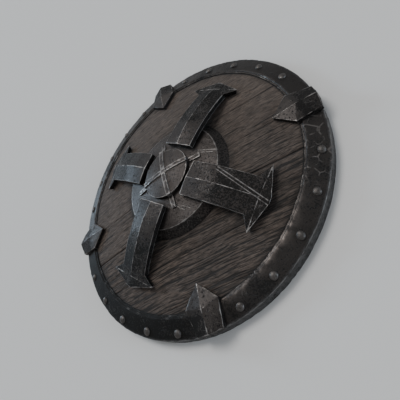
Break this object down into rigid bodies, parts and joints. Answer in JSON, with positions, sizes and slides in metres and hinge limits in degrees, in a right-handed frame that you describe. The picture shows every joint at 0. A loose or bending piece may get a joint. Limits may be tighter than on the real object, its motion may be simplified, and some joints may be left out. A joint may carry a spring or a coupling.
{
  "type": "round plank shield with steel fittings",
  "caption": "Round domed plank shield with a riveted steel rim, rim clasps, ridged radial straps, a banded centre boss and a hand grip behind it.",
  "frame": {"origin": "under the middle of the shield, on the surface that its rim lies on", "axes": "+Z out of the shield's face, away from the hand; +X along the planks; +Y along the hand grip"},
  "size_m": [0.6086, 0.6086, 0.0845],
  "materials": {
    "rim_steel": "dark forged steel, mottled and scratched, bright where edges are worn",
    "fitting_steel": "dark brown-grey forged steel, scratched, with bright ridges and edges",
    "board_wood": "weathered grey-brown planks with open dark grain",
    "back_wood": "plain worn wood, darker where it is held"
  },
  "bodies": {
    "root": {"rim": "rim_steel", "rivet_1": "rim_steel", "rivet_2": "rim_steel", "rivet_3": "rim_steel", "rivet_4": "rim_steel", "rivet_5": "rim_steel", "rivet_6": "rim_steel", "rivet_7": "rim_steel", "rivet_8": "rim_steel", "rivet_9": "rim_steel", "rivet_10": "rim_steel", "rivet_11": "rim_steel", "rivet_12": "rim_steel", "rivet_13": "rim_steel", "rivet_14": "rim_steel", "rivet_15": "rim_steel", "rivet_16": "rim_steel", "rivet_17": "rim_steel", "rivet_18": "rim_steel", "rivet_19": "rim_steel", "rivet_20": "rim_steel", "clasp_1": "fitting_steel", "clasp_2": "fitting_steel", "clasp_3": "fitting_steel", "clasp_4": "fitting_steel", "arm_1": "fitting_steel", "arm_2": "fitting_steel", "arm_3": "fitting_steel", "arm_4": "fitting_steel", "boss_plate": "fitting_steel", "boss_cap": "fitting_steel", "plank_1": "board_wood", "plank_2": "board_wood", "plank_3": "board_wood", "plank_4": "board_wood", "plank_5": "board_wood", "plank_6": "board_wood", "plank_7": "board_wood", "plank_8": "board_wood", "hand_grip": "back_wood", "batten_1": "back_wood", "batten_2": "back_wood"}
  },
  "joints": []
}
